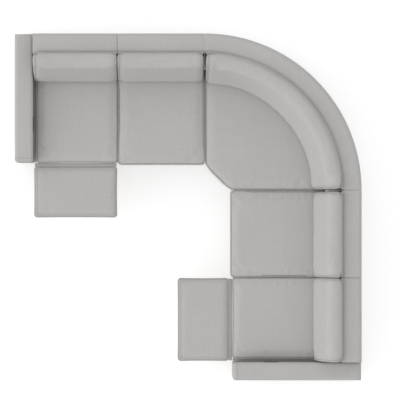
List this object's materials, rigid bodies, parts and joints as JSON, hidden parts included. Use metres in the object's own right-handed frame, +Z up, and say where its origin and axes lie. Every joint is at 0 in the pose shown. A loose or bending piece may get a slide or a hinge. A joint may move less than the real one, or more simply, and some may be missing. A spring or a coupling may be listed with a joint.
{
  "type": "corner sofa",
  "caption": "Reclining corner sofa: two runs of upholstered seats joined by a curved corner, with a fold-out footrest and a reclining back at each end.",
  "frame": {"origin": "on the floor, at the centre of the square plan", "axes": "+Z up; the left run stands along +Y and faces -Y, the right run stands along +X and faces -X"},
  "size_m": [2.695, 2.695, 0.8329],
  "materials": {
    "upholstery": "close woven matt upholstery cloth over foam",
    "deck_cloth": "plain deck cloth over firm foam",
    "webbing": "elastic webbing, ribbed",
    "timber": "planed softwood, unfinished",
    "plywood": "plywood, unfinished",
    "steel": "black powder coat, satin",
    "motor_housing": "moulded, fine texture",
    "switch_plastic": "moulded, fine texture",
    "rocker_plastic": "moulded, semi gloss",
    "foot_plastic": "moulded, matt"
  },
  "bodies": {
    "root": {"connector_plates": "steel", "corner_back_cushion": "upholstery", "corner_frame": "timber", "corner_front_panel": "upholstery", "corner_seat_cushion": "upholstery", "corner_shell": "upholstery", "feet": "foot_plastic", "gear_motors": "motor_housing", "left_arm_cover": "upholstery", "left_arm_frame": "timber", "left_end_base": "timber", "left_end_rear_panel": "upholstery", "left_end_seat_cushion": "upholstery", "left_end_seat_deck": "deck_cloth", "left_middle_back_cushion": "upholstery", "left_middle_frame": "timber", "left_middle_front_panel": "upholstery", "left_middle_seat_cushion": "upholstery", "left_middle_shell": "upholstery", "mechanism_brackets": "steel", "power_inlets": "switch_plastic", "right_arm_cover": "upholstery", "right_arm_frame": "timber", "right_end_base": "timber", "right_end_rear_panel": "upholstery", "right_end_seat_cushion": "upholstery", "right_end_seat_deck": "deck_cloth", "right_middle_back_cushion": "upholstery", "right_middle_frame": "timber", "right_middle_front_panel": "upholstery", "right_middle_seat_cushion": "upholstery", "right_middle_shell": "upholstery", "switch_plates": "switch_plastic", "webbing": "webbing"},
    "left_drive": {"left_lower_links": "steel", "left_drive_tube": "steel"},
    "left_lift": {"left_main_links": "steel"},
    "left_footrest": {"left_footrest_brackets": "steel", "left_footrest_board": "plywood", "left_footrest_pad": "upholstery"},
    "left_crossbar": {"left_cross_links": "steel"},
    "left_toggle": {"left_toggle_links": "steel"},
    "left_back": {"left_back_frame": "timber", "left_back_shell": "upholstery", "left_back_cushion": "upholstery"},
    "left_footrest_switch": {"left_footrest_rocker": "rocker_plastic"},
    "left_back_switch": {"left_back_rocker": "rocker_plastic"},
    "right_drive": {"right_lower_links": "steel", "right_drive_tube": "steel"},
    "right_lift": {"right_main_links": "steel"},
    "right_footrest": {"right_footrest_brackets": "steel", "right_footrest_board": "plywood", "right_footrest_pad": "upholstery"},
    "right_crossbar": {"right_cross_links": "steel"},
    "right_toggle": {"right_toggle_links": "steel"},
    "right_back": {"right_back_frame": "timber", "right_back_shell": "upholstery", "right_back_cushion": "upholstery"},
    "right_footrest_switch": {"right_footrest_rocker": "rocker_plastic"},
    "right_back_switch": {"right_back_rocker": "rocker_plastic"}
  },
  "joints": [
    {"name": "left_footrest_drive", "type": "hinge", "parent": "root", "child": "left_drive", "pos_m": [-0.8775, 0.5849, 0.2572], "axis": [1, 0, 0], "range_deg": [0, 99.27]},
    {"name": "left_lift_knee", "type": "hinge", "parent": "left_drive", "child": "left_lift", "pos_m": [-0.8775, 0.4659, 0.2154], "axis": [1, 0, 0], "range_deg": [-110.96, 0]},
    {"name": "left_footrest_tilt", "type": "hinge", "parent": "left_lift", "child": "left_footrest", "pos_m": [-0.8775, 0.2257, 0.3494], "axis": [1, 0, 0], "range_deg": [0, 101.69]},
    {"name": "left_crossbar_pivot", "type": "hinge", "parent": "root", "child": "left_crossbar", "pos_m": [-0.8775, 0.545, 0.2873], "axis": [1, 0, 0], "range_deg": [0, 97.53]},
    {"name": "left_toggle_pivot", "type": "hinge", "parent": "left_crossbar", "child": "left_toggle", "pos_m": [-0.8775, 0.3592, 0.245], "axis": [1, 0, 0], "range_deg": [-111.42, 0]},
    {"name": "left_back_recline", "type": "hinge", "parent": "root", "child": "left_back", "pos_m": [-0.8775, 1.1615, 0.43], "axis": [-1, 0, 0], "range_deg": [0, 25]},
    {"name": "left_footrest_rocker_tilt", "type": "hinge", "parent": "root", "child": "left_footrest_switch", "pos_m": [-1.2115, 0.6225, 0.53], "axis": [0, 0, 1], "range_deg": [-6, 6], "stiffness_Nm_per_rad": 0.05},
    {"name": "left_back_rocker_tilt", "type": "hinge", "parent": "root", "child": "left_back_switch", "pos_m": [-1.2115, 0.6725, 0.53], "axis": [0, 0, 1], "range_deg": [-6, 6], "stiffness_Nm_per_rad": 0.05},
    {"name": "right_footrest_drive", "type": "hinge", "parent": "root", "child": "right_drive", "pos_m": [0.5849, -0.8775, 0.2572], "axis": [0, -1, 0], "range_deg": [0, 99.27]},
    {"name": "right_lift_knee", "type": "hinge", "parent": "right_drive", "child": "right_lift", "pos_m": [0.4659, -0.8775, 0.2154], "axis": [0, -1, 0], "range_deg": [-110.96, 0]},
    {"name": "right_footrest_tilt", "type": "hinge", "parent": "right_lift", "child": "right_footrest", "pos_m": [0.2257, -0.8775, 0.3494], "axis": [0, -1, 0], "range_deg": [0, 101.69]},
    {"name": "right_crossbar_pivot", "type": "hinge", "parent": "root", "child": "right_crossbar", "pos_m": [0.545, -0.8775, 0.2873], "axis": [0, -1, 0], "range_deg": [0, 97.53]},
    {"name": "right_toggle_pivot", "type": "hinge", "parent": "right_crossbar", "child": "right_toggle", "pos_m": [0.3592, -0.8775, 0.245], "axis": [0, -1, 0], "range_deg": [-111.42, 0]},
    {"name": "right_back_recline", "type": "hinge", "parent": "root", "child": "right_back", "pos_m": [1.1615, -0.8775, 0.43], "axis": [0, 1, 0], "range_deg": [0, 25]},
    {"name": "right_footrest_rocker_tilt", "type": "hinge", "parent": "root", "child": "right_footrest_switch", "pos_m": [0.6225, -1.2115, 0.53], "axis": [0, 0, -1], "range_deg": [-6, 6], "stiffness_Nm_per_rad": 0.05},
    {"name": "right_back_rocker_tilt", "type": "hinge", "parent": "root", "child": "right_back_switch", "pos_m": [0.6725, -1.2115, 0.53], "axis": [0, 0, -1], "range_deg": [-6, 6], "stiffness_Nm_per_rad": 0.05}
  ],
  "couplings": [
    {"joint": "left_lift_knee", "follows": "left_footrest_drive", "ratio": -1.1173},
    {"joint": "left_footrest_tilt", "follows": "left_footrest_drive", "ratio": 1.0239},
    {"joint": "left_crossbar_pivot", "follows": "left_footrest_drive", "ratio": 0.98196},
    {"joint": "left_toggle_pivot", "follows": "left_footrest_drive", "ratio": -1.1219},
    {"joint": "right_lift_knee", "follows": "right_footrest_drive", "ratio": -1.1173},
    {"joint": "right_footrest_tilt", "follows": "right_footrest_drive", "ratio": 1.0239},
    {"joint": "right_crossbar_pivot", "follows": "right_footrest_drive", "ratio": 0.98196},
    {"joint": "right_toggle_pivot", "follows": "right_footrest_drive", "ratio": -1.1219}
  ]
}
